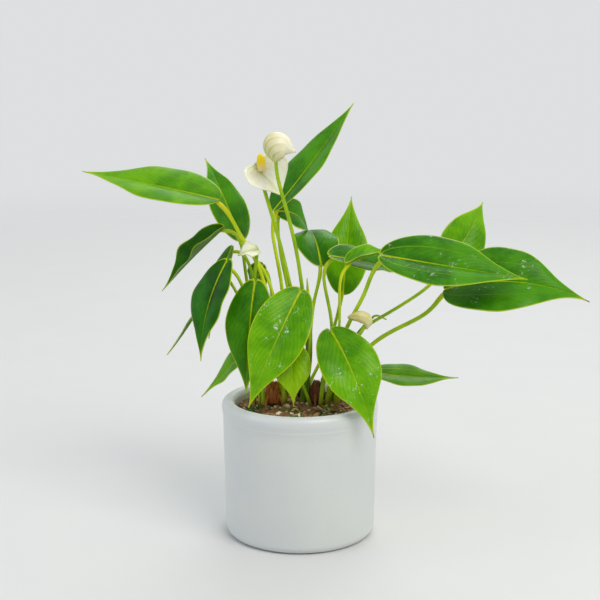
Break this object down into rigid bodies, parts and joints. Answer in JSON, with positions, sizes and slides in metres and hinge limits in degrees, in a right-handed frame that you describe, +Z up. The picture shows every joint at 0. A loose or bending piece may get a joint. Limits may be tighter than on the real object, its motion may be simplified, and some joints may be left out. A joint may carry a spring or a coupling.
{
  "type": "potted anthurium",
  "caption": "Small flowering house plant in a plain round glazed pot: pointed glossy leaves on long stalks, cream spathes and bark compost.",
  "frame": {"origin": "centre of the pot's flat foot, on the surface that it stands on", "axes": "+Z up along the pot's axis, +X to the right as seen from the front, towards the longest leaf, +Y to the back"},
  "size_m": [0.2412, 0.0917, 0.2042],
  "materials": {
    "pot_glaze": "satin white glaze",
    "compost": "damp bark chips and moss",
    "sheath": "dry papery sheath",
    "leaf_mature": "waxy leaf",
    "leaf_fresh": "young waxy leaf",
    "stalk": "smooth stalk",
    "spathe": "waxy bract",
    "spadix": "fine-grained spadix"
  },
  "bodies": {
    "root": {"pot": "pot_glaze", "potting_soil": "compost", "crown_left": "sheath", "crown_right": "sheath", "crown_back": "sheath", "petiole_far_left": "stalk", "leaf_far_left": "leaf_fresh", "petiole_upper_left": "stalk", "leaf_upper_left": "leaf_mature", "petiole_twisted_left": "stalk", "leaf_twisted_left": "leaf_mature", "petiole_hanging_left": "stalk", "leaf_hanging_left": "leaf_mature", "petiole_inner_left": "stalk", "leaf_inner_left": "leaf_mature", "petiole_edge_left": "stalk", "leaf_edge_left": "leaf_mature", "petiole_low_left": "stalk", "leaf_low_left": "leaf_mature", "petiole_front_left": "stalk", "leaf_front_left": "leaf_mature", "petiole_front_middle": "stalk", "leaf_front_middle": "leaf_mature", "petiole_front_small": "stalk", "leaf_front_small": "leaf_mature", "petiole_front_right": "stalk", "leaf_front_right": "leaf_mature", "petiole_low_right": "stalk", "leaf_low_right": "leaf_mature", "petiole_tall": "stalk", "leaf_tall": "leaf_mature", "petiole_upper_middle": "stalk", "leaf_upper_middle": "leaf_mature", "petiole_back_middle": "stalk", "leaf_back_middle": "leaf_mature", "petiole_back_upright": "stalk", "leaf_back_upright": "leaf_mature", "petiole_dark_right": "stalk", "leaf_dark_right": "leaf_mature", "petiole_folded_right": "stalk", "leaf_folded_right": "leaf_mature", "petiole_long_right": "stalk", "leaf_long_right": "leaf_mature", "petiole_far_right": "stalk", "leaf_far_right": "leaf_mature", "petiole_upper_right": "stalk", "leaf_upper_right": "leaf_fresh", "petiole_back_small": "stalk", "leaf_back_small": "leaf_mature", "young_leaf_spear": "leaf_fresh", "young_leaf_curled": "leaf_fresh", "peduncle_tall": "stalk", "spathe_tall": "spathe", "peduncle_small": "stalk", "spathe_small": "spathe", "spadix": "spadix", "peduncle_round": "stalk", "bud_round": "spathe", "peduncle_hooded": "stalk", "bud_hooded": "spathe"}
  },
  "joints": []
}
